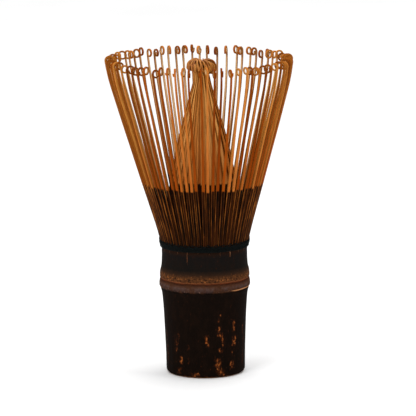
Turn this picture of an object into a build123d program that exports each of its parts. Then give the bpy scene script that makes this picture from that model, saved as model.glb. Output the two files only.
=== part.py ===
from build123d import *
import math
import os

os.makedirs("parts", exist_ok=True)

# Bamboo tea whisk, standing upright on its foot, +Z up, millimetres.
# Origin: centre of the foot, on the surface that the whisk stands on.
# One bamboo culm is split above its node into sections, and each section into
# thin tines, which go alternately outwards and inwards: an outer ring that
# flares and curls in at the tips, and an inner ring that leans in and ends in a
# knot of curled tips. A black thread is laced round the roots and holds the two
# rings apart.

# ---- driving dimensions ----
SECTIONS = 24               # first splits of the culm
TINES_PER_SECTION = 3       # tines shaved from each section, in each ring

FOOT_R = 13.1               # outer radius of the grip at the foot
FOOT_EDGE_R = 1.3           # rounded outer edge of the foot
WALL_BELOW_NODE = 3.1       # wall of the grip tube
BORE_EDGE = 0.4             # broken inner edge of the foot
BORE_FILLET_R = 2.0         # where the bore runs into the diaphragm
# how far the grip swells beyond the foot, and at what height
GRIP_SWELL = ((0.35, 14.0), (0.9, 24.4), (1.6, 28.2))
DIAPHRAGM_BOTTOM_Z = 26.6
DIAPHRAGM_TOP_Z = 29.6
WALL_ABOVE_NODE_R = 11.5    # inner radius of the collar above the node

NODE_RIDGE_Z = 29.6         # widest line of the lower ridge of the node
NODE_RIDGE_R = 15.1
NODE_GROOVE_Z = 31.4        # growth line between the two ridges
NODE_GROOVE_R = 14.7
NODE_BULGE_Z = 33.2         # soft swelling above the growth line
NODE_BULGE_R = 14.9
SHOULDER_Z = 35.6           # upper edge of the swelling
SHOULDER_R = 14.45
NECK_Z = 39.6               # waist just under the thread
NECK_R = 14.2
SPLIT_Z = 43.2              # top of the undivided collar, roots of the tines
COLLAR_TOP_R = 14.25
# directions of the outline (outwards, upwards) at the foot, into the ridge,
# into and out of the growth line, and at the collar's top
FOOT_RISE = (0, 1)
RIDGE_RISE = (0.45, 1)
GROOVE_IN = (-1, 0.5)
GROOVE_OUT = (1, 0.8)
COLLAR_RISE = (0.03, 1)
SPLIT_KERF = 0.14           # width of a split that runs on below the thread
SPLIT_DEPTHS = (2.0, 4.6, 2.6, 3.4)   # how far successive splits run down
SPLIT_REACH = 5.0           # radial length of the cut, right through the wall

OUTER_ROOT_R = 14.3         # outer face of an outer tine at its root
OUTER_ROOT_T = 0.95         # radial thickness at the root
OUTER_TIP_T = 0.45          # radial thickness at the curl
OUTER_ROOT_W = 0.80         # tangential width at the root
OUTER_TIP_W = 0.56          # tangential width at the curl
ROOT_CLEARANCE = 0.06       # lets a section rock over the collar
BEND_Z = 92.0               # the straight flare starts to turn upright here
BEND_R = 28.6
CURL_START_Z = 103.8
CURL_START_R = 31.2
CURL_OUTER_R = 1.4          # outer radius of a curled tip
CURL_SWEEP = 305            # degrees of curl
BEND_THINNING = 0.1         # at the bend a tine is this much thicker than at its tip

INNER_ROOT_R = 12.95        # centre line of an inner tine at its root
INNER_WAIST_R = 12.25       # centre line where it starts to lean in
INNER_T = 0.45
INNER_ROOT_W = 0.66
INNER_TIP_W = 0.54
LEAN_BEND_R = 70.0          # radius of the bend where an inner tine leans in
NECK_FILLET_R = 25.0        # radius of the bend into the neck of the core
CORE_NECK_Z = 98.0
KNOT_CENTRE_R = 3.0         # the curled tips are rings round this radius
KNOT_CENTRE_Z = 103.1
KNOT_SWEEP = 180            # degrees of curl of a tip in the knot
KNOT_DROP = 1.7             # straight fall of a tip outside the knot
# radius of each layer's curl, and height where its tines start to lean in
CORE_LAYERS = ((1.8, 54.0), (1.1, 56.0), (0.4, 58.0))
SECTOR_SHARE = 0.95         # part of its own sector that a core tine may fill

THREAD_D = 0.5
THREAD_PITCH = 0.45         # rise from one turn of the outer binding to the next
OUTER_TURNS = 4
FIRST_TURN_Z = 42.9
THREAD_CLEARANCE = 0.1      # between the binding and the tines that move under it
INNER_THREAD_R = 13.45      # turn that lies between the two rings
INNER_THREAD_D = 0.3
INNER_THREAD_Z = 45.1
LACE_D = 0.2                # thread pulled thin where it passes a split

# ---- values worked out from them ----
TINES = SECTIONS * TINES_PER_SECTION
SECTION_ANGLE = 360 / SECTIONS
TINE_ANGLE = 360 / TINES
LAYER_ANGLE = 360 / (TINES / len(CORE_LAYERS))
FLARE = (BEND_R - OUTER_ROOT_R) / (BEND_Z - SPLIT_Z)     # outward slope
REACH = 40.0                # longer than any radius, for cutting slabs
OVERCUT = 1.0               # how far a cutting outline runs past what it cuts
TOP_Z = 110.0               # above everything


def first_tine_angle(section):
    """Angle of the first tine of a section, which is centred on its angle."""
    return section * SECTION_ANGLE - TINE_ANGLE * (TINES_PER_SECTION - 1) / 2


def tine_width(root_width, tip_width):
    """Tangential outline of a tine, seen along the radius: widest at its root."""
    with BuildSketch(Plane.YZ) as width:
        with BuildLine():
            Polyline(
                (-root_width / 2, SPLIT_Z - OVERCUT),
                (root_width / 2, SPLIT_Z - OVERCUT),
                (tip_width / 2, TOP_Z),
                (-tip_width / 2, TOP_Z),
                close=True,
            )
        make_face()
    return width.sketch


def turn_z(turn):
    return FIRST_TURN_Z + turn * THREAD_PITCH


def turn_r(turn):
    """Centre radius of one outer turn of the thread."""
    rise = max(turn_z(turn) - SPLIT_Z, 0)
    return OUTER_ROOT_R + FLARE * rise + THREAD_CLEARANCE + THREAD_D / 2


# ---- handle: grip tube, node with its diaphragm, undivided collar ----
with BuildPart() as handle:
    with BuildSketch(Plane.XZ):
        with BuildLine():
            bore_r = FOOT_R - WALL_BELOW_NODE
            bore_top = Line(
                (0, DIAPHRAGM_BOTTOM_Z), (bore_r - BORE_FILLET_R, DIAPHRAGM_BOTTOM_Z)
            )
            RadiusArc(
                bore_top @ 1,
                (bore_r, DIAPHRAGM_BOTTOM_Z - BORE_FILLET_R),
                BORE_FILLET_R,
            )
            Line((bore_r, DIAPHRAGM_BOTTOM_Z - BORE_FILLET_R), (bore_r, BORE_EDGE))
            Line((bore_r, BORE_EDGE), (bore_r + BORE_EDGE, 0))
            Line((bore_r + BORE_EDGE, 0), (FOOT_R - FOOT_EDGE_R, 0))
            RadiusArc((FOOT_R - FOOT_EDGE_R, 0), (FOOT_R, FOOT_EDGE_R), -FOOT_EDGE_R)
            grip = Spline(
                (FOOT_R, FOOT_EDGE_R),
                *[(FOOT_R + swell, height) for swell, height in GRIP_SWELL],
                tangents=(FOOT_RISE, RIDGE_RISE),
            )
            ridge = Spline(
                grip @ 1,
                (NODE_RIDGE_R, NODE_RIDGE_Z),
                (NODE_GROOVE_R, NODE_GROOVE_Z),
                tangents=(RIDGE_RISE, GROOVE_IN),
            )
            Spline(
                ridge @ 1,
                (NODE_BULGE_R, NODE_BULGE_Z),
                (SHOULDER_R, SHOULDER_Z),
                (NECK_R, NECK_Z),
                (COLLAR_TOP_R, SPLIT_Z),
                tangents=(GROOVE_OUT, COLLAR_RISE),
            )
            Line((COLLAR_TOP_R, SPLIT_Z), (WALL_ABOVE_NODE_R, SPLIT_Z))
            collar_bore = Line(
                (WALL_ABOVE_NODE_R, SPLIT_Z),
                (WALL_ABOVE_NODE_R, DIAPHRAGM_TOP_Z + BORE_FILLET_R),
            )
            RadiusArc(
                collar_bore @ 1,
                (WALL_ABOVE_NODE_R - BORE_FILLET_R, DIAPHRAGM_TOP_Z),
                BORE_FILLET_R,
            )
            Line((WALL_ABOVE_NODE_R - BORE_FILLET_R, DIAPHRAGM_TOP_Z), (0, DIAPHRAGM_TOP_Z))
            Line((0, DIAPHRAGM_TOP_Z), (0, DIAPHRAGM_BOTTOM_Z))
        make_face()
    revolve(axis=Axis.Z)
    # the splits between sections run on a little way into the collar
    for section in range(SECTIONS):
        depth = SPLIT_DEPTHS[section % len(SPLIT_DEPTHS)]
        angle = (section + 0.5) * SECTION_ANGLE - TINE_ANGLE / 4
        split_plane = Plane.XZ.rotated((0, 0, angle))
        with BuildSketch(split_plane):
            with Locations((WALL_ABOVE_NODE_R - OVERCUT, SPLIT_Z - depth)):
                Rectangle(SPLIT_REACH, depth + OVERCUT, align=(Align.MIN, Align.MIN))
        extrude(amount=SPLIT_KERF / 2, both=True, mode=Mode.SUBTRACT)

handle.part.label = "handle"
export_step(handle.part, "parts/handle.step")

# ---- one outer tine: tapered, flared, its tip curled inwards ----
with BuildPart() as outer_tine:
    with BuildSketch(Plane.XZ):
        with BuildLine():
            root_z = SPLIT_Z + ROOT_CLEARANCE
            outer_flare = Line((OUTER_ROOT_R, root_z), (BEND_R, BEND_Z))
            outer_bend = TangentArc(
                (BEND_R, BEND_Z),
                (CURL_START_R, CURL_START_Z),
                tangent=outer_flare % 1,
            )
            outer_curl = JernArc(outer_bend @ 1, outer_bend % 1, CURL_OUTER_R, CURL_SWEEP)
            inward = (outer_bend % 1).rotate(Axis.Z, 90)
            inner_end = outer_bend @ 1 + inward * OUTER_TIP_T
            inner_curl = JernArc(
                inner_end, outer_bend % 1, CURL_OUTER_R - OUTER_TIP_T, CURL_SWEEP
            )
            Line(outer_curl @ 1, inner_curl @ 1)
            inner_bend_r = BEND_R - OUTER_TIP_T - BEND_THINNING
            inner_flare = Line((OUTER_ROOT_R - OUTER_ROOT_T, root_z), (inner_bend_r, BEND_Z))
            TangentArc((inner_bend_r, BEND_Z), inner_end, tangent=inner_flare % 1)
            Line((OUTER_ROOT_R, root_z), (OUTER_ROOT_R - OUTER_ROOT_T, root_z))
        make_face()
    extrude(amount=OUTER_ROOT_W, both=True)
    extrude(tine_width(OUTER_ROOT_W, OUTER_TIP_W), amount=REACH, mode=Mode.INTERSECT)

# ---- one inner tine for each layer of the core ----
core_tines = []
for curl_r, lean_z in CORE_LAYERS:
    neck_r = KNOT_CENTRE_R - curl_r
    with BuildPart() as core_tine:
        with BuildSketch(Plane.XZ):
            edges = []
            with BuildLine():
                for side in (-1, 1):
                    shift = side * INNER_T / 2
                    stem = FilletPolyline(
                        (INNER_ROOT_R + shift, SPLIT_Z),
                        (INNER_WAIST_R + shift, lean_z),
                        (neck_r + shift, CORE_NECK_Z),
                        (neck_r + shift, KNOT_CENTRE_Z),
                        radius=(LEAN_BEND_R, NECK_FILLET_R),
                    )
                    curl = JernArc(stem @ 1, (0, 1), curl_r - shift, -KNOT_SWEEP)
                    fall = Line(curl @ 1, curl @ 1 - (0, KNOT_DROP * curl_r / CORE_LAYERS[0][0]))
                    edges.append((stem @ 0, fall @ 1))
                Line(edges[0][0], edges[1][0])
                Line(edges[0][1], edges[1][1])
            make_face()
        extrude(amount=INNER_ROOT_W, both=True)
        extrude(tine_width(INNER_ROOT_W, INNER_TIP_W), amount=REACH, mode=Mode.INTERSECT)
        # near the axis each tine keeps to its own sector
        half_sector = math.radians(LAYER_ANGLE * SECTOR_SHARE / 2)
        with BuildSketch():
            with BuildLine():
                Polyline(
                    (0, 0),
                    (REACH, -REACH * math.tan(half_sector)),
                    (REACH, REACH * math.tan(half_sector)),
                    close=True,
                )
            make_face()
        extrude(amount=TOP_Z, mode=Mode.INTERSECT)
    core_tines.append(core_tine.part)

# ---- sections: three outer and three inner tines in each ----
for section in range(SECTIONS):
    with BuildPart() as outer_section:
        with PolarLocations(0, TINES_PER_SECTION, first_tine_angle(section), SECTION_ANGLE):
            add(outer_tine.part)
    name = f"outer_tines_{section + 1:02d}"
    outer_section.part.label = name
    export_step(outer_section.part, f"parts/{name}.step")

    # each inner tine stands between two outer ones
    with BuildPart() as inner_section:
        for index, core_tine_part in enumerate(core_tines):
            angle = first_tine_angle(section) + (index + 0.5) * TINE_ANGLE
            with PolarLocations(0, 1, angle):
                add(core_tine_part)
    name = f"inner_tines_{section + 1:02d}"
    inner_section.part.label = name
    export_step(inner_section.part, f"parts/{name}.step")

# ---- binding thread: outer turns, one turn between the rings, lacing ----
with BuildPart() as binding_thread:
    for turn in range(OUTER_TURNS):
        with BuildSketch(Plane.XZ):
            with Locations((turn_r(turn), turn_z(turn))):
                Circle(THREAD_D / 2)
        revolve(axis=Axis.Z)
    with BuildSketch(Plane.XZ):
        with Locations((INNER_THREAD_R, INNER_THREAD_Z)):
            Circle(INNER_THREAD_D / 2)
    revolve(axis=Axis.Z)
    lace_start = Vector(turn_r(OUTER_TURNS - 1), 0, turn_z(OUTER_TURNS - 1))
    lace = Vector(INNER_THREAD_R, 0, INNER_THREAD_Z) - lace_start
    for section in range(SECTIONS):
        angle = (section + 0.5) * SECTION_ANGLE
        across_split = Plane(
            lace_start.rotate(Axis.Z, angle),
            z_dir=lace.rotate(Axis.Z, angle),
        )
        with BuildSketch(across_split):
            Circle(LACE_D / 2)
        extrude(amount=lace.length)

binding_thread.part.label = "binding_thread"
export_step(binding_thread.part, "parts/binding_thread.step")
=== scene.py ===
import math
import random

import bpy
from mathutils import Matrix, Vector, noise


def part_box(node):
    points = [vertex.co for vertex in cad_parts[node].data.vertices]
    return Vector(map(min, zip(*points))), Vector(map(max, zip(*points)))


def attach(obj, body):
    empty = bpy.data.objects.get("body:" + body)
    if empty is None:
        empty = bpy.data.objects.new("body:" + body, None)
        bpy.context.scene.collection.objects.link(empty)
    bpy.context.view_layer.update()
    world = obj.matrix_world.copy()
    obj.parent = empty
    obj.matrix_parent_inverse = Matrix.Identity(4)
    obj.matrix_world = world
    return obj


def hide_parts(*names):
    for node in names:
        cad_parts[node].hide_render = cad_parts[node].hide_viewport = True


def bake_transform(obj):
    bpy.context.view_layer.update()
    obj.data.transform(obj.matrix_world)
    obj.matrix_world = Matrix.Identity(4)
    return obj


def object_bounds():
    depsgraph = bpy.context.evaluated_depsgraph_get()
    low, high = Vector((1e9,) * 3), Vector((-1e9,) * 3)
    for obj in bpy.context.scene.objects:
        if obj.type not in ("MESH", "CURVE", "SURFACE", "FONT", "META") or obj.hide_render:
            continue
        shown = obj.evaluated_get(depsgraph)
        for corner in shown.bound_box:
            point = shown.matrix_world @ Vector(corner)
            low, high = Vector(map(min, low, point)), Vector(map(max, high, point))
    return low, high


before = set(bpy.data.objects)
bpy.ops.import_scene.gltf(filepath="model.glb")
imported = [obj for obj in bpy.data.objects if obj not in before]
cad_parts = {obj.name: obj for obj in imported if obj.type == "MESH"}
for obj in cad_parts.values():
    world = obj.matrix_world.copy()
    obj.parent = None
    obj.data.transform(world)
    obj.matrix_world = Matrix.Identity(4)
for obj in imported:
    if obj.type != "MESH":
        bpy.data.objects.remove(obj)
cad_low, cad_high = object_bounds()

# Black bamboo tea whisk. Lengths here are in millimetres, angles in degrees.
# Azimuth 0 is the front (-Y) and turns towards +X. The heading of a tine is how
# far it leans out from the upright.
MM = 0.001
UP = Vector((0, 0, 1))

collar_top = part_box("handle")[1].z / MM
SECTIONS = len([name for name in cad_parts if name.startswith("outer_tines_")])
TINES_PER_SECTION = 3
TINES = SECTIONS * TINES_PER_SECTION
TINE_ANGLE = 360 / TINES
SECTION_ANGLE = 360 / SECTIONS
FIRST_AZIMUTH = 90          # section 01 is centred on +X

# ---- grip, node and collar ----
# outside profile as (radius, height)
OUTSIDE = (
    (13.1, 1.3), (13.2, 7.0), (13.45, 14.0), (13.7, 20.0), (14.0, 24.6), (14.25, 27.0),
    (14.6, 28.4), (15.0, 29.4), (15.1, 30.2), (15.02, 31.1), (14.78, 32.1),
    (14.86, 32.8), (14.9, 33.5), (14.76, 34.7), (14.45, 35.9), (14.28, 37.5),
    (14.2, 39.6), (14.21, 41.6), (14.25, 43.2),
)
FOOT_R = OUTSIDE[0][0]
FOOT_EDGE_R = 1.3           # rounded outer edge of the foot
BORE_R = 10.0
BORE_EDGE = 0.4             # broken inner edge of the foot
BORE_FILLET = 2.0           # where a bore runs into the diaphragm
DIAPHRAGM = (26.6, 29.6)    # bottom and top of the wall that closes the tube
COLLAR_BORE_R = 11.5
AZIMUTH_STEPS = 360
PROFILE_STEP = 0.45         # height between two rings of the outside
NODE_STEP = 0.16            # and between two rings of the node
NODE_SPAN = (28.0, 35.4)    # heights with the node's fine relief
NODE_MIDDLE_Z = 31.6
# relief of the node as (height, half height, rise)
NODE_RELIEF = (
    (32.15, 0.22, -0.20),   # growth line
    (32.65, 0.25, 0.08),    # lip above it
    (29.5, 0.25, 0.07),     # lip where the leaf sheath grew
    (28.95, 0.28, -0.20),   # groove under the ridge
)
# slivers of the old leaf sheath as (from azimuth, to azimuth, half height)
SHEATH_SCARS = ((36, 100, 0.24), (-84, -70, 0.30), (150, 215, 0.2))
SHEATH_SCAR_Z = 29.37
# places where the dark skin has worn through:
# (azimuth, from height, to height, half width, strength)
STREAKS = (
    (21.0, 19.0, 21.6, 0.7, 0.75), (20.5, 14.3, 17.7, 0.9, 1.0),
    (24.5, 10.8, 14.6, 0.7, 0.85), (21.0, 8.6, 10.0, 0.9, 0.95),
    (19.0, 1.2, 6.8, 1.4, 1.0), (24.5, 0.6, 3.2, 1.1, 0.95),
    (43.5, 15.4, 19.2, 0.9, 0.9), (44.5, 10.4, 13.8, 1.3, 1.0),
    (41.0, 6.8, 9.2, 0.6, 0.8), (42.5, 2.6, 5.3, 1.1, 0.95),
    (1.5, 11.8, 15.0, 0.8, 1.0), (4.0, 10.9, 12.6, 0.6, 1.0),
    (-48.0, 10.2, 12.4, 1.2, 0.85), (-46.5, 8.6, 9.8, 0.9, 0.9),
    (-42.0, 12.8, 14.8, 1.0, 0.7), (-37.0, 4.4, 7.2, 0.9, 1.0),
    (-41.0, 1.0, 3.0, 1.2, 0.95), (-25.5, 9.6, 11.4, 0.7, 0.7),
    (-25.0, 4.8, 6.8, 0.6, 0.65), (-15.0, 0.0, 1.8, 1.7, 0.95),
    (5.0, 0.0, 0.9, 1.4, 0.9), (-33.0, 0.0, 0.6, 1.4, 0.8),
    (35.0, 0.0, 0.8, 1.4, 0.8), (68.0, 3.0, 17.0, 0.9, 0.6),
    (-72.0, 4.0, 15.0, 1.0, 0.6), (104.0, 6.0, 22.0, 1.3, 0.8),
    (131.0, 0.5, 12.0, 1.4, 0.95), (160.0, 9.0, 19.0, 1.1, 0.8),
    (-98.0, 2.0, 18.0, 1.2, 0.8), (-127.0, 7.0, 21.0, 1.4, 0.9),
    (-155.0, 0.5, 9.0, 1.5, 1.0), (178.0, 0.0, 4.0, 1.6, 0.9),
)
# how deep successive splits run down under the thread
SPLIT_DEPTHS = (1.6, 2.2, 3.2, 2.0)
SPLIT_REACH = (13.55, 15.2)     # radii between which the wall is cut
# (half width, depth) of the few splits that stand open, by their number from the front
WIDE_SPLITS = {
    2: (0.22, 2.6), 9: (0.15, 3.0), 14: (0.1, 4.0), 22: (0.065, 4.7), 23: (0.05, 1.5),
}

# ---- outer tines ----
# a pair named SPREAD is the mean and the spread of a random draw
LEAN = 1.1                  # the flared part leans a little to -X
LEAN_RISE = 12.0            # height over which that lean sets in
RIM_TILT = 0.5              # and its rim is a little lower at +X
BACK_SWAY = -2.0            # the tines behind, on the +X side, stand spread to that side
BACK_RIGHT = ((92, 110), (160, 178))    # azimuths over which that sets in and ends
OUTER_ROOT_R = 13.88
ROOT_HEADING = 13.4
FLARE_HEADING = 16.4
TIP_HEADING = 7.9
FLARE_LENGTH = 50.9
BEND_LENGTH = 12.1
FLARE_STEPS, BEND_STEPS, CURL_STEPS = 20, 6, 28
SKIN_BLACK = 21.75          # the black skin ends this far along a tine
BLADE_WIDTH = (1.0, 0.62)           # at the root and above the bend
BLADE_THICKNESS = (0.95, 0.86, 0.55)    # at the root, the skin's end and above the bend
BLADE_THINS = 20            # length along the tine from which it thins faster
CURL_WIDTH = (0.60, 0.64)           # at the start and the end of the curl
CURL_THICKNESS = (0.58, 0.54)
CURL_TIGHTENING = 0.72      # radius at the end of the curl, as a share of its first
CURL_LENGTH_SHARE = 0.88    # of an arc that wouldn't tighten
RIGHT_CHAMFER = (0.11, 0.20)        # least and most
LEFT_CHAMFER = (0.15, 0.27)
FRONT_PARING = 0.6          # share of the chamfers at the front and the back
TOP_PARING = 0.45           # and share of them left on the upper blade
TURN_SPREAD = (0, 0.12)             # of a tine's azimuth from its even place
TWIST_SPREAD = (-12.0, 6.0)         # blades are twisted a little
BOW_SPREAD = (0.0, 0.35)            # degrees of heading
SWAY_SPREAD = (0.0, 0.3)            # sideways, at the end of the flare
LENGTH_SPREAD = (0.0, 0.3)
CURL_R_SPREAD = (1.36, 0.07)
CURL_SWEEP_SPREAD = (380, 18)
YAW_SPREAD = (0, 11)                # which way a curl faces
CURL_DRIFT = (0.25, 0.6)            # least and most that a curl moves sideways
# (size, radians per mm) of the ripple in a blade's heading, and sideways
HEADING_RIPPLE = (0.25, 0.25)
SIDE_RIPPLE = (0.012, 0.33)

# ---- inner tines: the core and its knot ----
# centre line as (radius, height), up to the neck
CORE_LINE = (
    (12.95, 43.2), (12.65, 50.0), (12.1, 57.0), (10.5, 66.0), (8.55, 76.3), (6.2, 85.3),
    (4.35, 92.0),
)
# for each layer: radius and height of the neck, radius of the tip's curl
CORE_LAYERS = ((2.75, 98.0, 1.4), (2.0, 98.6, 1.7), (1.3, 99.2, 2.0))
CORE_LAYER_GAP = 0.3        # between the layers, half way up
CORE_LEAN = 0.3             # the core leans less than the outer ring
CORE_WIDTH = (0.42, 1.02)   # least and most, before the knot
CORE_OVERLAP = 1.25         # width as a share of the room beside the next tine
CORE_THICKNESS = (0.42, 0.30)       # low down and above the waist
CORE_CHAMFERS = (0.07, 0.07)
CORE_TURN_SPREAD = (0, 0.5)         # of an inner tine's azimuth, at the neck
CORE_SWAY_SPREAD = (0, 0.11)
CORE_RIPPLE = (0.1, 0.21)   # (size, radians per mm)
KNOT_TURN = 52.0            # the tips curl over round the axis, not straight out
KNOT_Z = 102.0              # where the tips of the outermost layer turn over
KNOT_LAYER_RISE = 0.35      # from a layer to the next, and from the axis to -X
KNOT_STEM = 0.92            # radius at KNOT_Z, as a share of the neck's
KNOT_SWEEP = (215, 290)     # least and most
KNOT_STEPS = 22
KNOT_WIDTH = (0.34, 0.50)
KNOT_THICKNESS = 0.32
KNOT_TIGHTENING = 0.85
LOBE_PARTING = 0.45         # how far the knot's lobes part along X
LOBE_SHARE = 0.17           # the lobe on the +X side is larger by this share
LOBE_STRETCH = 1.2

# ---- binding thread ----
THREAD_TURNS = 4
THREAD_PITCH = 0.45
FIRST_TURN_Z = 42.9
TURN_PLY_R = 0.125          # how far each ply lies from the thread's centre line
TURN_SAMPLES, TURN_TWISTS = 480, 70
TURN_STANDOFF = 0.27        # from the tines' faces to the centre line
ROW_LEVELS = (44.6, 44.95)  # two rows woven in and out between the rings
ROW_PLY_R = 0.10
ROW_SAMPLES, ROW_TWISTS = 576, 90
ROW_SQUARENESS = 2.2        # how sharply a row changes from outside to inside
ROW_MIDDLE, ROW_SWING = -0.42, 0.66     # in and out, from the tines' faces
ROW_LIFT = 0.16
PLY_SIDES = 6
PLY_FULLNESS = 1.12         # radius of a ply, as a share of its distance
BLADE_FACE = (14.30, 0.262)     # radius of the tines' faces at the collar, and slope

# ---- light and camera: metres and watts ----
FLOOR_HALF = 6.0
LIGHT_DISTANCE = 0.9
# (name, azimuth, elevation, width, height, power)
LIGHTS = (
    ("key_light", -32, 40, 0.4, 0.4, 3.2),
    ("right_light", 70, 25, 0.3, 0.5, 2.0),
    ("left_light", -80, 20, 0.3, 0.5, 1.6),
)
SUN = (160, 68, 2.3)        # azimuth, elevation, strength
SUN_SOFTNESS = 70           # apparent width of the sun
WORLD_STRENGTH = 0.42
CAMERA_DISTANCE = 1.2
CAMERA_ELEVATION = 10.2
CAMERA_ROLL = -0.6
VIEW_WIDTH = 0.1380         # how much the frame takes in at the object
AIM_OFFSET = (0.0013, 0, 0.0024)    # from the middle of the whisk


def rad(degrees):
    return math.radians(degrees)


def smooth(value, low, high):
    """0 before low, 1 after high, and a smooth rise between."""
    t = min(max((value - low) / (high - low), 0.0), 1.0)
    return t * t * (3 - 2 * t)


def hump(value, rise, fall):
    """0, a smooth rise over one span to 1, and a smooth fall over another."""
    return smooth(value, *rise) * (1 - smooth(value, *fall))


def bell(value, centre, width):
    return math.exp(-((value - centre) / width) ** 2)


def rippled(along, phase, size, pitch):
    return size * math.sin(phase + along * pitch)


def lerp(a, b, t):
    return a + (b - a) * t


def srgb(red, green, blue):
    """A colour given as 0-255 display values, as linear RGBA."""
    linear = [((c / 255 + 0.055) / 1.055) ** 2.4 if c > 10 else c / 255 / 12.92
              for c in (red, green, blue)]
    return (*linear, 1.0)


def outward(azimuth):
    """Unit vector away from the axis at an azimuth."""
    return Vector((math.sin(rad(azimuth)), -math.cos(rad(azimuth)), 0))


def along_and_across(direction, heading):
    """Tangent of a strip that leans towards direction, and the normal of its face."""
    sine, cosine = math.sin(rad(heading)), math.cos(rad(heading))
    return direction * sine + UP * cosine, direction * cosine - UP * sine


def catmull(points, per_span):
    """Points of a smooth curve through the given tuples."""
    result = []
    ends = [points[0], *points, points[-1]]
    for p0, p1, p2, p3 in zip(ends, ends[1:], ends[2:], ends[3:]):
        for step in range(per_span):
            t = step / per_span
            result.append(tuple(
                0.5 * (2 * b + (c - a) * t + (2 * a - 5 * b + 4 * c - d) * t * t
                       + (3 * b - a - 3 * c + d) * t ** 3)
                for a, b, c, d in zip(p0, p1, p2, p3)
            ))
    result.append(tuple(points[-1]))
    return result


def interpolate(table, x):
    """Value at x of a curve given by (x, value) pairs in rising x."""
    if x <= table[0][0]:
        return table[0][1]
    for (x0, y0), (x1, y1) in zip(table, table[1:]):
        if x <= x1:
            return lerp(y0, y1, (x - x0) / (x1 - x0))
    return table[-1][1]


def show(obj):
    bpy.context.scene.collection.objects.link(obj)
    return obj


def leaned(point, lean):
    """The flared part as a whole stands a little off the axis of the grip."""
    height = point.z - collar_top
    share = smooth(height, 0, LEAN_RISE)
    return Vector((
        point.x - height * math.tan(rad(lean)) * share,
        point.y,
        point.z - point.x * math.tan(rad(RIM_TILT)) * share,
    ))


# ---- meshes ----
SLOT_SKIN, SLOT_SIDE, SLOT_INNER, SLOT_EDGE = range(4)      # of a tine
SLOT_CUT, SLOT_INSIDE = 1, 2                                # of the culm, with SLOT_SKIN
INNER_CHAMFER = 0.16        # share of the smaller side of a tine's section


class Builder:
    """Collects swept and lathed surfaces for one mesh object."""

    def __init__(self):
        self.points = []
        self.faces = []
        self.slots = []
        self.fibre = []     # across, depth and length along the fibre, in mm
        self.tone = []      # a random shade for each strand

    def add_point(self, point, fibre, tone):
        self.points.append(point * MM)
        self.fibre.append(fibre)
        self.tone.append(tone)
        return len(self.points) - 1

    def add_face(self, corners, slot):
        self.faces.append(corners)
        self.slots.append(slot)

    def join(self, low, high, slots):
        """Faces between two rings of points, one for each slot."""
        for i, slot in enumerate(slots):
            j = (i + 1) % len(slots)
            self.add_face((low[i], low[j], high[j], high[i]), slot)

    def sweep(self, stations, seed, tone, lean):
        """Tine along stations of (centre, tangent, normal, width, thickness, edges, along).

        edges are the chamfers of the skin face, on its right and its left."""
        rings = []
        for centre, tangent, normal, width, thickness, edges, along in stations:
            side = tangent.cross(normal).normalized()
            half_w, half_t = width / 2, thickness / 2
            inner = INNER_CHAMFER * min(width, thickness)
            right, left = edges
            outline = (
                (half_w - right, half_t), (half_w, half_t - right),
                (half_w, inner - half_t), (half_w - inner, -half_t),
                (inner - half_w, -half_t), (-half_w, inner - half_t),
                (-half_w, half_t - left), (left - half_w, half_t),
            )
            ring = []
            for a, b in outline:
                place = leaned(centre + side * a + normal * b, lean)
                ring.append(self.add_point(place, (a + seed, b, along), tone))
            rings.append(ring)
        face_slots = (SLOT_EDGE, SLOT_SIDE, SLOT_SIDE, SLOT_INNER,
                      SLOT_SIDE, SLOT_SIDE, SLOT_EDGE, SLOT_SKIN)
        for low, high in zip(rings, rings[1:]):
            self.join(low, high, face_slots)
        self.add_face(tuple(reversed(rings[0])), SLOT_SIDE)
        self.add_face(tuple(rings[-1]), SLOT_SIDE)

    def loop(self, centres, radius, sides, seed):
        """Round strand along a closed line of points."""
        rings = []
        length = 0.0
        for i, centre in enumerate(centres):
            before, after = centres[i - 1], centres[(i + 1) % len(centres)]
            tangent = (after - before).normalized()
            length += (centre - before).length if i else 0.0
            side = tangent.cross(UP).normalized()
            over = side.cross(tangent)
            ring = []
            for k in range(sides):
                angle = 2 * math.pi * k / sides
                offset = side * math.cos(angle) + over * math.sin(angle)
                ring.append(self.add_point(
                    centre + offset * radius, (angle + seed, radius, length), 0.5))
            rings.append(ring)
        for low, high in zip(rings, rings[1:] + rings[:1]):
            self.join(low, high, (SLOT_SKIN,) * sides)

    def finish(self, name, materials, crease):
        mesh = bpy.data.meshes.new(name)
        mesh.from_pydata(self.points, [], self.faces)
        for material in materials:
            mesh.materials.append(material)
        mesh.polygons.foreach_set("material_index", self.slots)
        mesh.polygons.foreach_set("use_smooth", [True] * len(self.faces))
        fibre = mesh.attributes.new("fibre", "FLOAT_VECTOR", "POINT")
        fibre.data.foreach_set("vector", [c for triple in self.fibre for c in triple])
        tone = mesh.attributes.new("tone", "FLOAT", "POINT")
        tone.data.foreach_set("value", self.tone)
        mesh.set_sharp_from_angle(angle=rad(crease))
        mesh.update()
        return show(bpy.data.objects.new(name, mesh))


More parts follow.
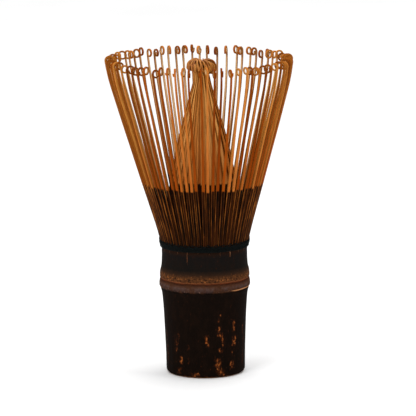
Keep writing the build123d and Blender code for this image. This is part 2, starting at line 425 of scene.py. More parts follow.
# ---- materials ----
class Shader:
    """Short names for the node kinds used below."""

    def __init__(self, name):
        self.material = bpy.data.materials.new(name)
        self.material.use_nodes = True
        self.tree = self.material.node_tree
        self.surface = self.tree.nodes["Principled BSDF"]

    def plug(self, socket, value):
        if isinstance(value, bpy.types.NodeSocket):
            self.tree.links.new(value, socket)
        else:
            socket.default_value = value

    def node(self, kind, inputs, **settings):
        made = self.tree.nodes.new("ShaderNode" + kind)
        for key, value in settings.items():
            setattr(made, key, value)
        for key, value in inputs.items():
            self.plug(made.inputs[key], value)
        return made

    def attribute(self, name, output="Fac"):
        return self.node("Attribute", {}, attribute_name=name).outputs[output]

    def position(self):
        """Object coordinates in millimetres."""
        place = self.node("TexCoord", {}).outputs["Object"]
        return self.scaled(place, (1 / MM, 1 / MM, 1 / MM))

    def scaled(self, vector, factors):
        made = self.node("VectorMath", {0: vector, 1: factors}, operation="MULTIPLY")
        return made.outputs["Vector"]

    def axis(self, vector, name):
        return self.node("SeparateXYZ", {"Vector": vector}).outputs[name]

    def noise(self, vector, scale, detail, roughness):
        made = self.node("TexNoise", {"Vector": vector, "Scale": scale,
                                      "Detail": detail, "Roughness": roughness})
        return made.outputs["Fac"]

    def grain(self, vector, factors, detail, roughness):
        """Noise along a vector that is first scaled by three factors."""
        return self.noise(self.scaled(vector, factors), 1.0, detail, roughness)

    def maths(self, operation, a, b):
        return self.node("Math", {0: a, 1: b}, operation=operation).outputs["Value"]

    def weighted(self, a, share_a, b, share_b):
        return self.maths("ADD", self.maths("MULTIPLY", a, share_a),
                          self.maths("MULTIPLY", b, share_b))

    def swing(self, value, amount):
        """Distance of a 0 to 1 value from its middle, times amount."""
        return self.maths("MULTIPLY", self.maths("SUBTRACT", value, 0.5), amount)

    def span(self, value, low, high, to_low=0.0, to_high=1.0):
        """value from low..high to to_low..to_high, smooth and held at the ends."""
        made = self.node("MapRange", {"Value": value, "From Min": low, "From Max": high,
                                      "To Min": to_low, "To Max": to_high},
                         interpolation_type="SMOOTHSTEP")
        return made.outputs["Result"]

    def rough(self, grain, low, high):
        """A roughness that follows the grain from low to high."""
        return self.span(grain, 0.3, 0.7, low, high)

    def band(self, value, rise, fall):
        """0, a smooth rise over one span to 1, and a smooth fall over another."""
        return self.maths("MULTIPLY", self.span(value, *rise),
                          self.span(value, *fall, 1.0, 0.0))

    def mix(self, share, a, b):
        made = self.tree.nodes.new("ShaderNodeMix")
        made.data_type = "RGBA"
        self.plug(made.inputs["Factor"], share)
        self.plug(made.inputs[6], a)
        self.plug(made.inputs[7], b)
        return made.outputs[2]

    def ramp(self, value, stops):
        made = self.node("ValToRGB", {"Fac": value})
        elements = made.color_ramp.elements
        while len(elements) < len(stops):
            elements.new(0.5)
        for element, (place, colour) in zip(elements, stops):
            element.position = place
            element.color = colour
        return made.outputs["Color"]

    def shades(self, grain, dark, light):
        return self.ramp(grain, ((0.3, dark), (0.7, light)))

    def bump(self, height, distance, strength):
        made = self.node("Bump", {"Height": height, "Distance": distance * MM,
                                  "Strength": strength})
        self.plug(self.surface.inputs["Normal"], made.outputs["Normal"])

    def set(self, **values):
        for key, value in values.items():
            self.plug(self.surface.inputs[key.replace("_", " ")], value)


BLACK_SKIN = srgb(12, 8, 6)
BROWN_SPECK = srgb(120, 62, 26)
# dark brown of the painted shade deep in the tines' sides, also used to darken them towards
# the root
SHADE_AND_ROOT_DARK = srgb(12, 7, 5)
GRIP_BLACK = srgb(14, 9, 7)
UMBER = srgb(34, 20, 13)
DEEP_BROWN = (20.0, 46.0)   # lengths along a tine over which the deeper brown fades
ZONES_Z, RIDGE_ZONES_Z = 26.9, 27.15    # heights where the culm's colour ramps start
ZONES_HEIGHT = 18.0         # and how far up they run


def tine_shader(name):
    """Shader with a tine's own coordinates, its shade and the length along it."""
    s = Shader(name)
    fibre = s.attribute("fibre", "Vector")
    return s, fibre, s.attribute("tone"), s.axis(fibre, "Z")


def tine_face(name, low, middle, high):
    """Outward face of a tine: black near its root, shades of brown above."""
    s, fibre, tone, along = tine_shader(name)
    grain = s.grain(fibre, (9.0, 9.0, 0.35), 3.0, 0.6)
    blotch = s.grain(fibre, (0.8, 0.8, 0.12), 3.0, 0.5)
    speck = s.grain(fibre, (1.3, 1.3, 0.5), 4.0, 0.6)
    brown = s.ramp(s.weighted(grain, 0.5, tone, 0.5),
                   ((0.25, low), (0.5, middle), (0.75, high)))
    brown = s.mix(s.span(along, *DEEP_BROWN, 0.45, 0.0), brown, srgb(150, 62, 8))
    dark = s.mix(s.span(speck, 0.68, 0.76), BLACK_SKIN, BROWN_SPECK)
    shift = s.maths("ADD", s.swing(grain, 0.7), s.swing(tone, 0.7))
    edge = s.span(s.maths("ADD", along, shift), SKIN_BLACK - 0.25, SKIN_BLACK + 0.25)
    colour = s.mix(edge, dark, brown)
    colour = s.mix(s.span(blotch, 0.35, 0.65, 0.2, 0.0), colour, srgb(96, 44, 12))
    s.set(Base_Color=colour, Roughness=s.rough(grain, 0.42, 0.58),
          Specular_IOR_Level=0.002)
    s.bump(grain, 0.05, 0.6)
    return s.material


def tine_side(name, root_low, root_middle, root_high):
    """Cut sides or chamfers: raw bamboo, darker towards the root, with painted shade where a
    side lies deep between the tines.
    """
    s, fibre, tone, along = tine_shader(name)
    grain = s.grain(fibre, (7.0, 9.0, 0.3), 3.0, 0.6)
    patch = s.grain(fibre, (1.0, 1.0, 0.2), 3.0, 0.55)
    brown = s.ramp(s.weighted(grain, 0.6, tone, 0.4),
                   ((0.25, srgb(112, 58, 14)), (0.5, srgb(148, 86, 26)),
                    (0.75, srgb(184, 124, 54))))
    brown = s.mix(s.span(along, *DEEP_BROWN, 0.5, 0.0), brown, srgb(118, 54, 8))
    root_with_shade = s.ramp(patch, ((0.3, root_low), (0.5, root_middle), (0.7, root_high)))
    # painted shade: only the outer part of a side, next to the skin face, keeps its colour,
    # and the part deeper between the tines is painted dark; the sides are also darker towards
    # the root, near the thread
    root_with_shade = s.mix(s.span(s.axis(fibre, "Y"), 0.02, 0.18), SHADE_AND_ROOT_DARK, root_with_shade)
    root_with_shade = s.mix(s.span(along, 1.0, 14.0, 0.5, 0.0), root_with_shade, SHADE_AND_ROOT_DARK)
    edge = s.span(s.maths("ADD", along, patch), SKIN_BLACK, SKIN_BLACK + 1.0)
    s.set(Base_Color=s.mix(edge, root_with_shade, brown), Roughness=s.rough(grain, 0.5, 0.7),
          Specular_IOR_Level=0.02)
    s.bump(grain, 0.05, 0.7)
    return s.material


def tine_inner(name, low, middle, high):
    """Inner face: planed bamboo, with painted shade making it darker towards the root."""
    s, fibre, tone, along = tine_shader(name)
    grain = s.grain(fibre, (8.0, 8.0, 0.25), 4.0, 0.6)
    pale = s.ramp(s.weighted(grain, 0.6, tone, 0.4),
                  ((0.25, low), (0.5, middle), (0.75, high)))
    # painted shade: darker towards the root, where the inner face lies deep inside the ring
    # of tines
    colour = s.mix(s.span(along, 2.0, 26.0), srgb(96, 56, 26), pale)
    s.set(Base_Color=colour, Roughness=s.rough(grain, 0.55, 0.75), Specular_IOR_Level=0.3)
    s.bump(grain, 0.04, 0.6)
    return s.material


def thread_material():
    """Waxed black cotton, two plies."""
    s = Shader("black_thread")
    lint = s.grain(s.attribute("fibre", "Vector"), (2.0, 1.0, 6.0), 3.0, 0.6)
    s.set(Base_Color=s.shades(lint, srgb(6, 8, 8), srgb(19, 23, 22)),
          Roughness=s.rough(lint, 0.6, 0.85), Specular_IOR_Level=0.03)
    s.bump(lint, 0.03, 0.8)
    return s.material


def culm_zones(s, height, fine, cloud, crumb):
    """Colours by height: black grip, brown node with a worn band, black collar.

    Returns them with the share that belongs to the node's ridge."""
    uneven = s.maths("ADD", height, s.swing(crumb, 1.6))
    zone = s.maths("DIVIDE", s.maths("SUBTRACT", uneven, ZONES_Z), ZONES_HEIGHT)
    colour = s.ramp(zone, (
        (0.0, srgb(17, 11, 8)), (0.30, srgb(18, 12, 9)), (0.31, srgb(80, 46, 26)),
        (0.38, srgb(88, 53, 29)), (0.45, srgb(44, 29, 20)), (0.53, srgb(21, 18, 16)),
        (0.78, srgb(21, 18, 17)), (0.86, UMBER), (1.0, srgb(28, 16, 10)),
    ))
    zone = s.maths("DIVIDE", s.maths("SUBTRACT", height, RIDGE_ZONES_Z), ZONES_HEIGHT)
    ridge = s.ramp(zone, (
        (0.0, GRIP_BLACK), (0.105, GRIP_BLACK), (0.13, srgb(54, 38, 34)),
        (0.19, srgb(78, 58, 52)), (0.23, srgb(74, 46, 33)), (0.26, srgb(40, 20, 13)),
        (0.275, srgb(104, 50, 26)), (0.30, srgb(62, 33, 20)),
    ))
    ridge = s.mix(s.span(cloud, 0.42, 0.62, 0.0, 0.7), ridge, srgb(72, 42, 24))
    on_ridge = s.band(height, (28.75, 29.15), (32.35, 32.75))
    colour = s.mix(on_ridge, colour, ridge)
    grime = s.span(crumb, 0.38, 0.60, 0.3, 0.0)
    colour = s.mix(s.maths("MULTIPLY", on_ridge, grime), colour, srgb(26, 17, 13))
    # the worn band above the growth line, mottled with orange and black
    worn = s.band(height, (32.25, 32.65), (33.6, 35.6))
    bright = s.span(crumb, 0.56, 0.66)
    colour = s.mix(s.maths("MULTIPLY", worn, bright), colour, srgb(150, 88, 44))
    mottle = s.maths("MULTIPLY", worn, s.span(crumb, 0.40, 0.52, 0.85, 0.0))
    colour = s.mix(mottle, colour, srgb(24, 16, 12))
    # pale lips under the ridge and above the growth line
    lower_lip = s.band(height, (28.95, 29.15), (29.7, 30.0))
    colour = s.mix(s.maths("MULTIPLY", lower_lip, bright), colour, srgb(112, 82, 66))
    upper_lip = s.maths("MULTIPLY", s.band(height, (32.2, 32.35), (32.5, 32.65)),
                        s.span(fine, 0.35, 0.6, 0.2, 0.9))
    return s.mix(upper_lip, colour, srgb(136, 80, 48)), on_ridge


def worn_streaks(s, colour, place, streak, crumb):
    """The colour with the wood that shows where the dark skin has worn through."""
    flake = s.grain(place, (1.5, 1.5, 0.8), 6.0, 0.7)
    wear = s.weighted(flake, 1.5, streak, 0.34)
    wood = s.mix(s.span(crumb, 0.35, 0.65), srgb(112, 54, 22), srgb(160, 90, 42))
    colour = s.mix(s.span(wear, 0.90, 1.10, 0.0, 0.8), colour, srgb(62, 29, 13))
    return s.mix(s.span(wear, 1.06, 1.20), colour, wood)


def culm_skin():
    """Outside of the grip and collar: nearly black, brown and worn at the node."""
    s = Shader("culm_skin")
    place = s.position()
    fibre = s.attribute("fibre", "Vector")
    fine = s.grain(place, (3.2, 3.2, 0.22), 4.0, 0.6)
    cloud = s.grain(place, (0.5, 0.5, 0.3), 4.0, 0.6)
    crumb = s.grain(place, (1.6, 1.6, 1.5), 5.0, 0.7)
    colour, on_ridge = culm_zones(s, s.axis(fibre, "Z"), fine, cloud, crumb)
    colour = worn_streaks(s, colour, place, s.attribute("tone"), crumb)
    colour = s.mix(s.span(cloud, 0.4, 0.75, 0.0, 0.3), colour, UMBER)
    scar = s.span(s.axis(fibre, "Y"), 0.3, 0.7, 0.0, 0.9)
    colour = s.mix(scar, colour, srgb(178, 122, 78))
    rough = s.maths("ADD", s.rough(cloud, 0.46, 0.58), s.maths("MULTIPLY", fine, 0.1))
    s.set(Base_Color=colour, Roughness=rough, Specular_IOR_Level=0.004)
    pits = s.maths("MULTIPLY", s.maths("MULTIPLY", on_ridge, crumb), 0.4)
    s.bump(s.maths("ADD", fine, pits), 0.12, 0.55)
    return s.material


def culm_cut():
    """Sawn end of the tube: pale ground with dark dots of the fibre bundles."""
    s = Shader("culm_cut")
    place = s.position()
    dots = s.node("TexVoronoi", {"Vector": place, "Scale": 1.9}).outputs["Distance"]
    tint = s.noise(place, 0.7, 4.0, 0.6)
    ground = s.shades(tint, srgb(96, 60, 30), srgb(146, 100, 58))
    colour = s.mix(s.span(dots, 0.16, 0.34), srgb(44, 24, 12), ground)
    s.set(Base_Color=colour, Roughness=s.rough(tint, 0.62, 0.8), Specular_IOR_Level=0.3)
    s.bump(dots, 0.1, 0.5)
    return s.material


def culm_inside():
    """Inside wall and diaphragm: raw brown bamboo with darker clouds."""
    s = Shader("culm_inside")
    place = s.position()
    fibre = s.grain(place, (2.2, 2.2, 0.15), 4.0, 0.6)
    cloud = s.noise(place, 0.25, 4.0, 0.6)
    wood = s.shades(fibre, srgb(92, 56, 28), srgb(150, 104, 60))
    colour = s.mix(s.span(cloud, 0.4, 0.7, 0.0, 0.6), wood, srgb(70, 42, 22))
    s.set(Base_Color=colour, Roughness=s.rough(fibre, 0.6, 0.8), Specular_IOR_Level=0.25)
    s.bump(fibre, 0.15, 0.6)
    return s.material


def pale_split():
    """Fresh wood that shows in the ends of the splits."""
    s = Shader("pale_split")
    fibre = s.grain(s.position(), (4.0, 4.0, 0.4), 3.0, 0.6)
    s.set(Base_Color=s.shades(fibre, srgb(104, 62, 34), srgb(158, 104, 64)),
          Roughness=s.rough(fibre, 0.6, 0.8))
    s.bump(fibre, 0.05, 0.5)
    return s.material


OUTER_FACE = tine_face("tine_skin", srgb(108, 42, 5), srgb(158, 74, 15), srgb(202, 126, 58))
CORE_FACE = tine_face("tine_shaved", srgb(166, 98, 40), srgb(198, 130, 62),
                      srgb(212, 154, 86))
SIDE = tine_side("tine_side", srgb(88, 46, 15), srgb(130, 72, 25), srgb(172, 104, 42))
EDGE = tine_side("tine_edge", srgb(54, 27, 10), srgb(100, 54, 19), srgb(154, 90, 34))
# the inner tines' sides are near black towards the root: painted shade deep inside the ring
# of tines
CORE_SIDE = tine_side("tine_core_side", srgb(10, 6, 4), srgb(22, 12, 6), srgb(56, 29, 12))
INNER = tine_inner("tine_inner", srgb(172, 118, 60), srgb(204, 158, 102), srgb(226, 190, 140))
CORE_INNER = tine_inner("tine_core_inner", srgb(140, 78, 26), srgb(172, 106, 42),
                        srgb(190, 128, 62))


# ---- handle ----
def streak_at(azimuth, height, radius):
    """How strongly the dark skin is worn at a point of the outside, 0 to 1."""
    strength = 0.0
    for centre, low, high, half_width, most in STREAKS:
        wander = 3.0 * noise.noise(Vector((centre, height * 0.3, 0.5)))
        turn = (azimuth - centre - wander + 180) % 360 - 180
        off = rad(turn) * radius / half_width
        fade = hump(height, (low - 0.6, low + 0.3), (high - 0.3, high + 0.6))
        strength = max(strength, most * fade * math.exp(-off * off))
    return strength


def node_wave(azimuth):
    """How much higher than its mean the node runs at an azimuth."""
    return 0.12 * noise.noise(outward(azimuth) * 2.1 + Vector((7.7, 0, 0)))


def sheath_scar(azimuth, level):
    """A sliver of the old leaf sheath left along the node's lower lip, 0 to 1."""
    for start, end, half_height in SHEATH_SCARS:
        turn = (azimuth - start) % 360
        span = end - start
        if turn < span:
            taper = hump(turn, (0, 8), (span - 10, span))
            middle = SHEATH_SCAR_Z + 0.18 * noise.noise(Vector((azimuth * 0.06, 0, 0)))
            return bell(level, middle, half_height * (0.3 + 0.7 * taper))
    return 0.0


def outside_radius(azimuth, height, base):
    """Radius of the outside with the small unevenness of grown bamboo."""
    around = outward(azimuth)
    out_of_round = 0.10 * noise.noise(around * 0.9 + Vector((3.1, 0, height * 0.02)))
    grooves = 0.030 * noise.noise(Vector((around.x * 9, around.y * 9, height * 0.035)))
    grooves += 0.014 * noise.noise(Vector((around.x * 24, around.y * 24, height * 0.06)))
    knobbly = 0.10 * noise.noise(Vector((around.x * 5, around.y * 5, height * 0.9)))
    level = height - node_wave(azimuth)
    relief = sum(rise * bell(level, middle, half) for middle, half, rise in NODE_RELIEF)
    knobbly *= bell(height, NODE_MIDDLE_Z, 2.4)
    return base + out_of_round + grooves + knobbly + relief


def handle_outline():
    """Closed profile as (radius, height, slot), from the axis below the diaphragm
    round the foot, up the outside and down to the axis above the diaphragm."""
    low, high = DIAPHRAGM
    outline = [(0.0, low, SLOT_CUT), (4.0, low, SLOT_INSIDE)]
    for step in range(5):
        turn = rad(90 * step / 4)
        outline.append((BORE_R - BORE_FILLET * (1 - math.sin(turn)),
                        low - BORE_FILLET * (1 - math.cos(turn)), SLOT_INSIDE))
    outline += [(BORE_R, z, SLOT_INSIDE) for z in (20.0, 15.0, 10.0, 5.0, BORE_EDGE)]
    outline += [(BORE_R + r, 0.0, SLOT_CUT) for r in (BORE_EDGE, 1.0, 1.4)]
    for step in range(6):
        turn = rad(90 * step / 6)
        outline.append((FOOT_R - FOOT_EDGE_R * (1 - math.sin(turn)),
                        FOOT_EDGE_R * (1 - math.cos(turn)),
                        SLOT_CUT if step < 3 else SLOT_SKIN))
    profile = [(z, r) for r, z in catmull(OUTSIDE, 12)]
    height = OUTSIDE[0][1]
    while height < collar_top - 0.05:
        outline.append((interpolate(profile, height), height, SLOT_SKIN))
        height += NODE_STEP if NODE_SPAN[0] < height < NODE_SPAN[1] else PROFILE_STEP
    outline += [(OUTSIDE[-1][0], collar_top, SLOT_CUT), (12.8, collar_top, SLOT_CUT)]
    outline += [(COLLAR_BORE_R, z, SLOT_INSIDE)
                for z in (collar_top, 39.0, 35.0, high + BORE_FILLET)]
    for step in range(1, 5):
        turn = rad(90 * step / 4)
        outline.append((COLLAR_BORE_R - BORE_FILLET * (1 - math.cos(turn)),
                        high + BORE_FILLET * (1 - math.sin(turn)), SLOT_INSIDE))
    outline += [(4.0, high, SLOT_INSIDE), (0.0, high, SLOT_INSIDE)]
    return outline


def build_handle():
    build = Builder()
    rings = []
    outline = handle_outline()
    for radius, height, _ in outline:
        if radius == 0:
            index = build.add_point(Vector((0, 0, height)), (0, 0, height), 0.0)
            rings.append([index] * AZIMUTH_STEPS)
            continue
        ring = []
        for step in range(AZIMUTH_STEPS):
            azimuth = 360 * step / AZIMUTH_STEPS
            shown, worn = radius, 0.0
            if radius > FOOT_R - FOOT_EDGE_R:
                share = smooth(height, 0.0, FOOT_EDGE_R)
                shown = lerp(radius, outside_radius(azimuth, height, radius), share)
                worn = streak_at(azimuth, height, radius)
            place = outward(azimuth) * shown + Vector((0, 0, height))
            level = height - node_wave(azimuth)
            scar = sheath_scar(azimuth, level)
            ring.append(build.add_point(place, (rad(azimuth) * radius, scar, level), worn))
        rings.append(ring)
    for low, high, (_, _, slot) in zip(rings, rings[1:], outline):
        for i in range(AZIMUTH_STEPS):
            j = (i + 1) % AZIMUTH_STEPS
            corners = dict.fromkeys((low[i], low[j], high[j], high[i]))
            build.add_face(tuple(corners), slot)
    return build.finish("culm_handle", (culm_skin(), culm_cut(), culm_inside()), 50)


def cut_splits(handle):
    """Cuts a fine wedge of pale wood for each split, then applies the cut."""
    build = Builder()
    rng = random.Random(5)
    for section in range(SECTIONS):
        azimuth = (section + 0.5) * SECTION_ANGLE - TINE_ANGLE / 4
        depth = SPLIT_DEPTHS[section % len(SPLIT_DEPTHS)] * rng.uniform(0.75, 1.0)
        half, depth = WIDE_SPLITS.get(section, (rng.uniform(0.02, 0.04), depth))
        axis = outward(azimuth)
        side = outward(azimuth + 90)
        corners = []
        for r in SPLIT_REACH:
            for a, z in ((-half, collar_top + 0.5), (half, collar_top + 0.5),
                         (half, collar_top - depth * 0.7), (0.0, collar_top - depth),
                         (-half, collar_top - depth * 0.7)):
                point = axis * r + side * a + UP * z
                corners.append(build.add_point(point, (a, r, z), 0.0))
        near, far = corners[:5], corners[5:]
        build.add_face(tuple(near), 0)
        build.add_face(tuple(reversed(far)), 0)
        build.join(far, near, (0,) * 5)
    cutter = build.finish("split_cutter", (pale_split(),), 30)
    cut = handle.modifiers.new("splits", "BOOLEAN")
    cut.object = cutter
    cut.operation = "DIFFERENCE"
    cut.solver = "EXACT"
    cut.material_mode = "TRANSFER"
    bpy.context.view_layer.update()
    shown = handle.evaluated_get(bpy.context.evaluated_depsgraph_get())
    mesh = bpy.data.meshes.new_from_object(shown)
    handle.modifiers.clear()
    handle.data = mesh
    bpy.data.objects.remove(cutter)


handle = build_handle()
cut_splits(handle)
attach(handle, "culm")
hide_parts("handle")


# ---- outer tines ----
def blade_section(along, total):
    """Width and thickness of an outer tine, and how much is left of its chamfers."""
    width = lerp(*BLADE_WIDTH, smooth(along, 16, total))
    at_root, at_skin_end, at_top = BLADE_THICKNESS
    thick = lerp(at_root, at_skin_end, smooth(along, 0, BLADE_THINS))
    thick = lerp(thick, at_top, smooth(along, BLADE_THINS, total))
    return width, thick, lerp(1.0, TOP_PARING, smooth(along, 18, 40))


def outer_tine(build, azimuth, rng):
    """One outer tine: flared blade, upright end, curled tip."""
    seed = rng.uniform(0, 400)
    tone = rng.random()
    twist = rng.gauss(*TWIST_SPREAD)
    bow = rng.gauss(*BOW_SPREAD)
    sway = rng.gauss(*SWAY_SPREAD) + BACK_SWAY * hump(azimuth % 360, *BACK_RIGHT)
    ripple = rng.uniform(0, 2 * math.pi)
    pared = lerp(FRONT_PARING, 1.0, abs(math.sin(rad(azimuth))))
    chamfers = (pared * rng.uniform(*RIGHT_CHAMFER), pared * rng.uniform(*LEFT_CHAMFER))
    curl_r = rng.gauss(*CURL_R_SPREAD)
    curl_sweep = rng.gauss(*CURL_SWEEP_SPREAD)
    yaw = rng.gauss(*YAW_SPREAD)
    drift = rng.uniform(*CURL_DRIFT) * rng.choice((-1, 1))
    length = FLARE_LENGTH + rng.gauss(*LENGTH_SPREAD)
    total = length + BEND_LENGTH
    curl_length = rad(curl_sweep) * curl_r * CURL_LENGTH_SHARE
    plan = [(length / FLARE_STEPS, "flare")] * FLARE_STEPS
    plan += [(BEND_LENGTH / BEND_STEPS, "bend")] * BEND_STEPS
    plan += [(curl_length / CURL_STEPS, "curl")] * CURL_STEPS
    radial, across = outward(azimuth), outward(azimuth + 90)
    place = radial * OUTER_ROOT_R + UP * (collar_top - 0.1)
    stations = []
    along = yawed = turned = curl_done = 0.0
    heading = ROOT_HEADING
    for step, part in plan + [(0.0, "end")]:
        direction = radial * math.cos(rad(yawed)) + across * math.sin(rad(yawed))
        tangent, normal = along_and_across(direction, heading)
        twisted_by = twist * hump(along, (12, 26), (38, total - 2))
        normal = Matrix.Rotation(rad(twisted_by), 3, tangent) @ normal
        width, thick, edge_share = blade_section(along, total)
        if part in ("curl", "end"):
            width = lerp(*CURL_WIDTH, curl_done)
            thick = lerp(*CURL_THICKNESS, curl_done)
        edges = tuple(c * edge_share for c in chamfers)
        stations.append((place.copy(), tangent, normal, width, thick, edges, along))
        place += tangent * step
        along += step
        if part == "flare":
            heading = lerp(ROOT_HEADING, FLARE_HEADING, smooth(along, 0, 9))
            heading += bow * math.cos(math.pi * along / length)
            heading += rippled(along, ripple, *HEADING_RIPPLE)
            aside = rippled(along, ripple, *SIDE_RIPPLE)
            place += across * (sway * step / length + aside)
        elif part == "bend":
            risen = along - length
            heading = lerp(FLARE_HEADING, TIP_HEADING, smooth(risen, 0, BEND_LENGTH))
            yawed = yaw * smooth(risen, BEND_LENGTH * 0.5, BEND_LENGTH)
        elif part == "curl":
            curl_done += 1 / CURL_STEPS
            turned += math.degrees(step / (curl_r * lerp(1.0, CURL_TIGHTENING, curl_done)))
            heading = TIP_HEADING - turned
            place += across * (drift / CURL_STEPS)
    build.sweep(stations, seed, tone, LEAN)


rng = random.Random(21)
for section in range(SECTIONS):
    build = Builder()
    for index in range(TINES_PER_SECTION):
        azimuth = section * SECTION_ANGLE + (index - 1) * TINE_ANGLE + rng.gauss(*TURN_SPREAD)
        outer_tine(build, azimuth + FIRST_AZIMUTH, rng)
    number = f"{section + 1:02d}"
    piece = build.finish(f"outer_blades_{number}", (OUTER_FACE, SIDE, INNER, EDGE), 40)
    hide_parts(f"outer_tines_{number}")
    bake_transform(piece)


# ---- inner tines ----
def core_line(azimuth, stray, layer, rise, rng):
    """Centre line of an inner tine, from the collar through the neck to the knot."""
    neck_r, neck_z, _ = CORE_LAYERS[layer]
    wobble = rng.uniform(0, 2 * math.pi)
    swing = rng.gauss(*CORE_SWAY_SPREAD)
    centres = []
    for r, z in catmull([*CORE_LINE, (neck_r, neck_z), (neck_r * KNOT_STEM, rise)], 5):
        r -= CORE_LAYER_GAP * layer * hump(z, (52, 68), (88, neck_z))
        sway = hump(z, (50, 80), (92, 98)) * (swing + rippled(z, wobble, *CORE_RIPPLE))
        strayed = azimuth + stray * smooth(z, 48, 90)
        parting = Vector((-LOBE_PARTING * smooth(z, neck_z, rise), 0, 0))
        centres.append(outward(strayed) * r + outward(strayed + 90) * sway
                       + parting + UP * z)
    return centres


def inner_tine(build, azimuth, stray, layer, rng):
    """One inner tine: leans in to the neck of the core, its tip curls over."""
    seed = rng.uniform(0, 400)
    tone = rng.random()
    _, neck_z, curl_r = CORE_LAYERS[layer]
    sideways = math.sin(rad(azimuth))
    curl_r *= rng.uniform(0.92, 1.08) * (1 + LOBE_SHARE * sideways)
    rise = KNOT_Z + KNOT_LAYER_RISE * (layer - sideways) + rng.uniform(-0.2, 0.2)
    centres = core_line(azimuth, stray, layer, rise, rng)
    stations = []
    along = 0.0
    for before, centre, after in zip([centres[0], *centres], centres,
                                     [*centres[1:], centres[-1]]):
        tangent = (after - before).normalized()
        facing = outward(azimuth + KNOT_TURN * smooth(centre.z, neck_z - 1.5, rise))
        normal = (facing - tangent * facing.dot(tangent)).normalized()
        along += (centre - before).length
        room = rad(TINE_ANGLE) * math.hypot(centre.x, centre.y)
        least, most = CORE_WIDTH
        width = min(most, max(CORE_OVERLAP * room, least))
        thick = lerp(*CORE_THICKNESS, smooth(centre.z, 55, 75))
        stations.append((centre, tangent, normal, width, thick, CORE_CHAMFERS, along))
    # the tip goes over and down in the plane of its direction
    direction = outward(azimuth + KNOT_TURN)
    direction = Vector((direction.x * LOBE_STRETCH, direction.y, 0)).normalized()
    place = centres[-1].copy()
    turn = rng.uniform(*KNOT_SWEEP) / KNOT_STEPS
    for k in range(1, KNOT_STEPS + 1):
        t = k / KNOT_STEPS
        length = rad(turn) * curl_r * lerp(1.0, KNOT_TIGHTENING, t)
        place += along_and_across(direction, (k - 0.5) * turn)[0] * length
        tangent, normal = along_and_across(direction, k * turn)
        along += length
        width = lerp(*KNOT_WIDTH, smooth(t, 0, 0.3))
        stations.append((place.copy(), tangent, normal, width, KNOT_THICKNESS,
                         CORE_CHAMFERS, along))
    build.sweep(stations, seed, tone, CORE_LEAN)


rng = random.Random(33)
for section in range(SECTIONS):
    build = Builder()
    for index in range(TINES_PER_SECTION):
        azimuth = section * SECTION_ANGLE + (index - 0.5) * TINE_ANGLE + FIRST_AZIMUTH
        inner_tine(build, azimuth, rng.gauss(*CORE_TURN_SPREAD), index, rng)
    number = f"{section + 1:02d}"
    piece = build.finish(f"inner_blades_{number}",
                         (CORE_FACE, CORE_SIDE, CORE_INNER, CORE_SIDE), 40)
    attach(piece, "culm")
    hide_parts(f"inner_tines_{number}")


# ---- binding thread ----
def face_radius(height):
    """Outside of the outer tines close above the collar."""
    radius, slope = BLADE_FACE
    return radius + slope * max(height - collar_top, 0)


def outer_turn(turn, t):
    """Point of one of the turns round the roots of the tines, t from 0 to 1."""
    level = FIRST_TURN_Z + turn * THREAD_PITCH
    azimuth = 360 * t + 40 * turn
    waver = 0.05 * noise.noise(outward(azimuth) * 2.5 + UP * (turn * 3.7))
    bumps = 0.04 * math.cos(rad(azimuth * TINES)) if level > collar_top else 0.0
    radius = face_radius(level) + TURN_STANDOFF + bumps
    return outward(azimuth) * radius + UP * (level + waver)


def woven_row(row, t):
    """Point of a row that goes over and under the outer tines, t from 0 to 1."""
    azimuth = 360 * t
    phase = rad(azimuth * TINES / 2 + 180 * row)
    over = math.tanh(ROW_SQUARENESS * math.cos(phase)) / math.tanh(ROW_SQUARENESS)
    radius = face_radius(ROW_LEVELS[row]) + ROW_MIDDLE + ROW_SWING * over
    lift = ROW_LIFT * math.cos(phase * 2)
    return outward(azimuth + 90) * radius + UP * (ROW_LEVELS[row] + lift)


def two_ply(build, line, ply_radius, twists):
    """Two plies twisted round a closed line of points."""
    for ply in range(2):
        strand = []
        for i, centre in enumerate(line):
            ahead = line[(i + 1) % len(line)] - line[i - 1]
            side = ahead.cross(UP).normalized()
            over = side.cross(ahead).normalized()
            angle = 2 * math.pi * (twists * i / len(line) + ply / 2)
            offset = side * math.cos(angle) + over * math.sin(angle)
            strand.append(centre + offset * ply_radius)
        build.loop(strand, ply_radius * PLY_FULLNESS, PLY_SIDES, ply * 3.0)


build = Builder()
for turn in range(THREAD_TURNS):
    line = [outer_turn(turn, i / TURN_SAMPLES) for i in range(TURN_SAMPLES)]
    two_ply(build, line, TURN_PLY_R, TURN_TWISTS)
for row in range(len(ROW_LEVELS)):
    line = [woven_row(row, i / ROW_SAMPLES) for i in range(ROW_SAMPLES)]
    two_ply(build, line, ROW_PLY_R, ROW_TWISTS)
thread = build.finish("thread_binding", (thread_material(),), 80)
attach(thread, "culm")
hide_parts("binding_thread")


# ---- floor, light, camera ----
def floor_material():
    s = Shader("pale_floor")
    grain = s.noise(s.position(), 0.02, 2.0, 0.5)
    s.set(Base_Color=s.shades(grain, srgb(238, 238, 238), srgb(241, 241, 241)),
          Roughness=0.9, Specular_IOR_Level=0.1)
    return s.material


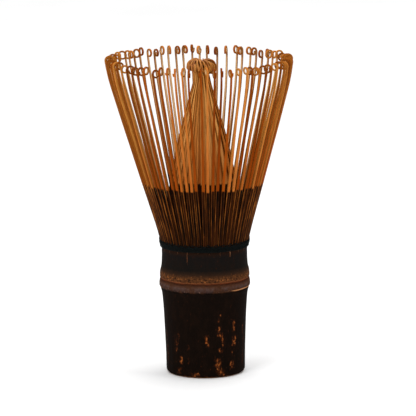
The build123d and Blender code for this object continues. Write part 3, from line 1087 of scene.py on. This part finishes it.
def add_floor(half):
    mesh = bpy.data.meshes.new("floor")
    corners = [(-half, -half, 0), (half, -half, 0), (half, half, 0), (-half, half, 0)]
    mesh.from_pydata(corners, [], [(0, 1, 2, 3)])
    mesh.materials.append(floor_material())
    floor = show(bpy.data.objects.new("floor", mesh))


def add_light(name, azimuth, elevation, width, height, power, aim):
    """Soft box that faces the aim from a direction."""
    data = bpy.data.lights.new(name, "AREA")
    data.shape = "RECTANGLE"
    data.size = width
    data.size_y = height
    data.energy = power
    light = show(bpy.data.objects.new(name, data))
    away = outward(azimuth) * math.cos(rad(elevation)) + UP * math.sin(rad(elevation))
    light.location = aim + away * LIGHT_DISTANCE
    light.rotation_euler = (-away).to_track_quat("-Z", "Y").to_euler()


def add_sun(name, azimuth, elevation, strength):
    """Broad soft light from above that falls evenly on the whole floor."""
    data = bpy.data.lights.new(name, "SUN")
    data.energy = strength
    data.angle = rad(SUN_SOFTNESS)
    light = show(bpy.data.objects.new(name, data))
    away = outward(azimuth) + UP * math.tan(rad(elevation))
    light.rotation_euler = (-away).to_track_quat("-Z", "Y").to_euler()


middle = (cad_low + cad_high) / 2
add_floor(FLOOR_HALF)
for light in LIGHTS:
    add_light(*light, middle)
add_sun("overhead", *SUN)

world = bpy.data.worlds.new("studio")
world.use_nodes = True
background = world.node_tree.nodes["Background"]
background.inputs["Color"].default_value = (1, 1, 1, 1)
background.inputs["Strength"].default_value = WORLD_STRENGTH
bpy.context.scene.world = world
bpy.context.scene.view_settings.view_transform = "Standard"

camera_data = bpy.data.cameras.new("camera")
camera_data.lens = camera_data.sensor_width * CAMERA_DISTANCE / VIEW_WIDTH
camera_data.clip_start = 0.05
camera_data.clip_end = 30
camera = show(bpy.data.objects.new("camera", camera_data))
aim = middle + Vector(AIM_OFFSET)
tilt = rad(CAMERA_ELEVATION)
camera.location = aim + Vector((0, -math.cos(tilt), math.sin(tilt))) * CAMERA_DISTANCE
look = (aim - camera.location).to_track_quat("-Z", "Y").to_matrix()
camera.rotation_euler = (look @ Matrix.Rotation(rad(CAMERA_ROLL), 3, "Z")).to_euler()
bpy.context.scene.camera = camera
